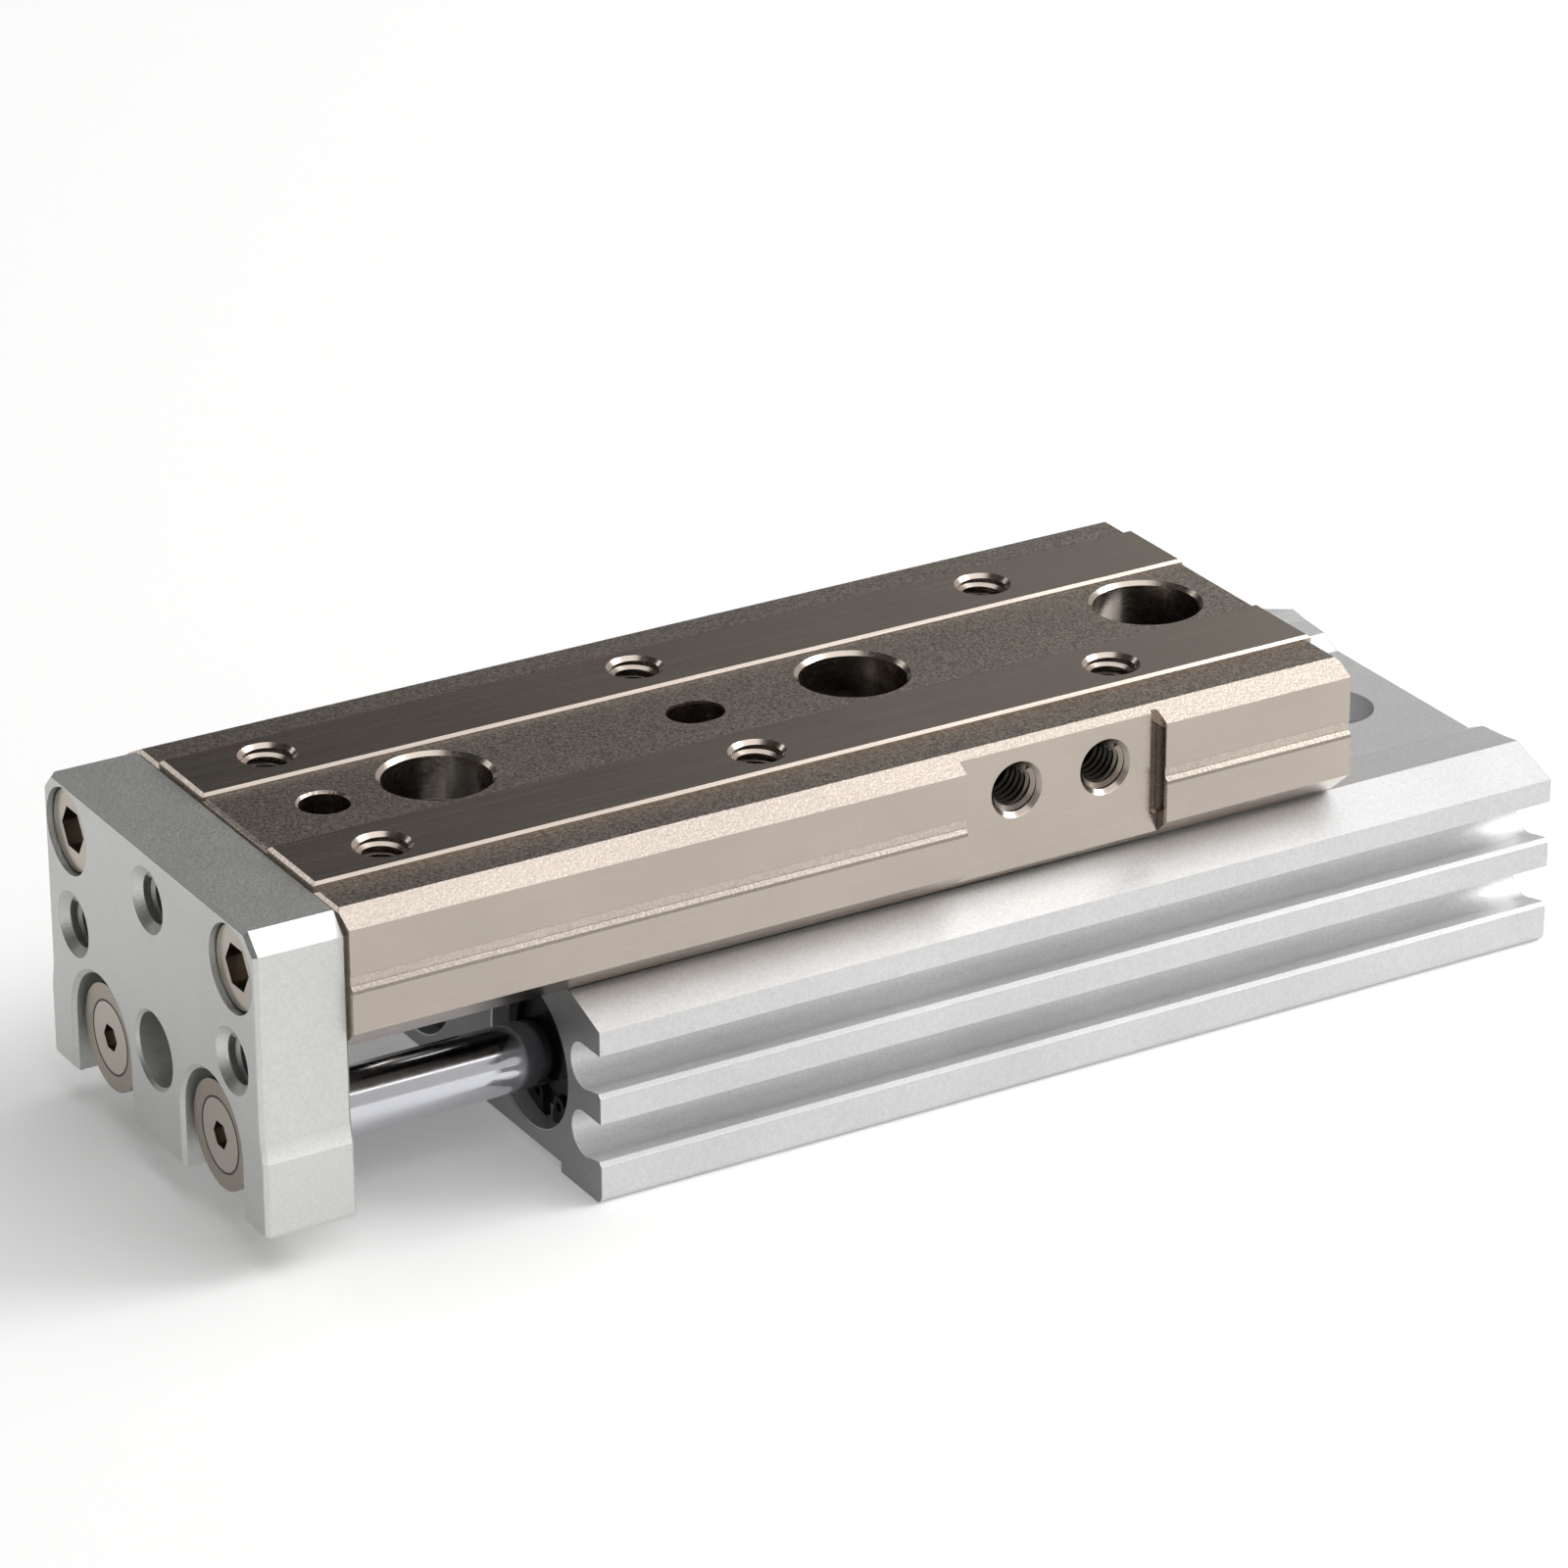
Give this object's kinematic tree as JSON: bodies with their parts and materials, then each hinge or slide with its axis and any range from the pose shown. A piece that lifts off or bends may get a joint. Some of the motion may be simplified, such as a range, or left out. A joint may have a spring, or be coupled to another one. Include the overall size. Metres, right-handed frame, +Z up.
{
  "type": "pneumatic slide table",
  "caption": "Pneumatic slide table: grooved aluminium cylinder body, ball guided steel table with mounting holes, chrome piston rods and an end plate, shown part extended.",
  "frame": {"origin": "centre of the body's bottom face, on the plane of its two feet", "axes": "+X runs along the travel to the rear, away from the end plate; +Z is up out of the table's top; -Y faces the side with the sensor grooves"},
  "size_m": [0.1737, 0.062, 0.0431],
  "materials": {
    "body_anodised": "fine blasted, clear anodised extrusion",
    "plate_anodised": "fine blasted, clear anodised",
    "table_nickel": "ground steel, electroless nickel plated",
    "plated_screws": "nickel plated steel",
    "bush_nickel": "turned steel, nickel plated",
    "collar_black": "black oxide steel",
    "rod_chrome": "ground hard chrome",
    "guide_steel": "hardened and ground steel",
    "dark_screws": "black oxide steel",
    "cap_resin": "moulded acetal",
    "seal_rubber": "moulded nitrile rubber",
    "ball_steel": "polished bearing steel",
    "cover_aluminium": "turned aluminium",
    "cover_black": "turned aluminium, black anodised",
    "bush_bronze": "sintered bronze",
    "ring_steel": "phosphated spring steel",
    "magnet_resin": "resin bonded magnet"
  },
  "bodies": {
    "housing": {"body": "body_anodised", "guide_block": "guide_steel", "guide_block_screws": "dark_screws", "return_cap_front": "cap_resin", "return_cap_rear": "cap_resin", "return_cap_screws": "dark_screws", "scraper_front": "seal_rubber", "scraper_rear": "seal_rubber", "guide_balls_left": "ball_steel", "guide_balls_right": "ball_steel", "rod_cover_left": "cover_black", "rod_cover_right": "cover_black", "rod_bushes": "bush_bronze", "rod_seals": "seal_rubber", "rod_cover_o_rings": "seal_rubber", "front_bumpers": "seal_rubber", "rear_bumpers": "seal_rubber", "head_cap_left": "cover_aluminium", "head_cap_right": "cover_aluminium", "head_cap_o_rings": "seal_rubber", "front_retaining_rings": "ring_steel", "rear_retaining_rings": "ring_steel"},
    "slide": {"table": "table_nickel", "end_plate": "plate_anodised", "end_plate_screws": "plated_screws", "rod_end_bushes": "bush_nickel", "rod_end_screws": "plated_screws", "rod_collars": "collar_black", "piston_rod_left": "rod_chrome", "piston_rod_right": "rod_chrome", "piston_left": "cover_aluminium", "piston_right": "cover_aluminium", "piston_seals": "seal_rubber", "piston_magnets": "magnet_resin", "piston_wear_rings": "cap_resin", "piston_screws": "dark_screws"}
  },
  "joints": [
    {"name": "table_slide", "type": "slide", "parent": "housing", "child": "slide", "axis": [-1, 0, 0], "range_m": [-0.028, 0.047]}
  ]
}
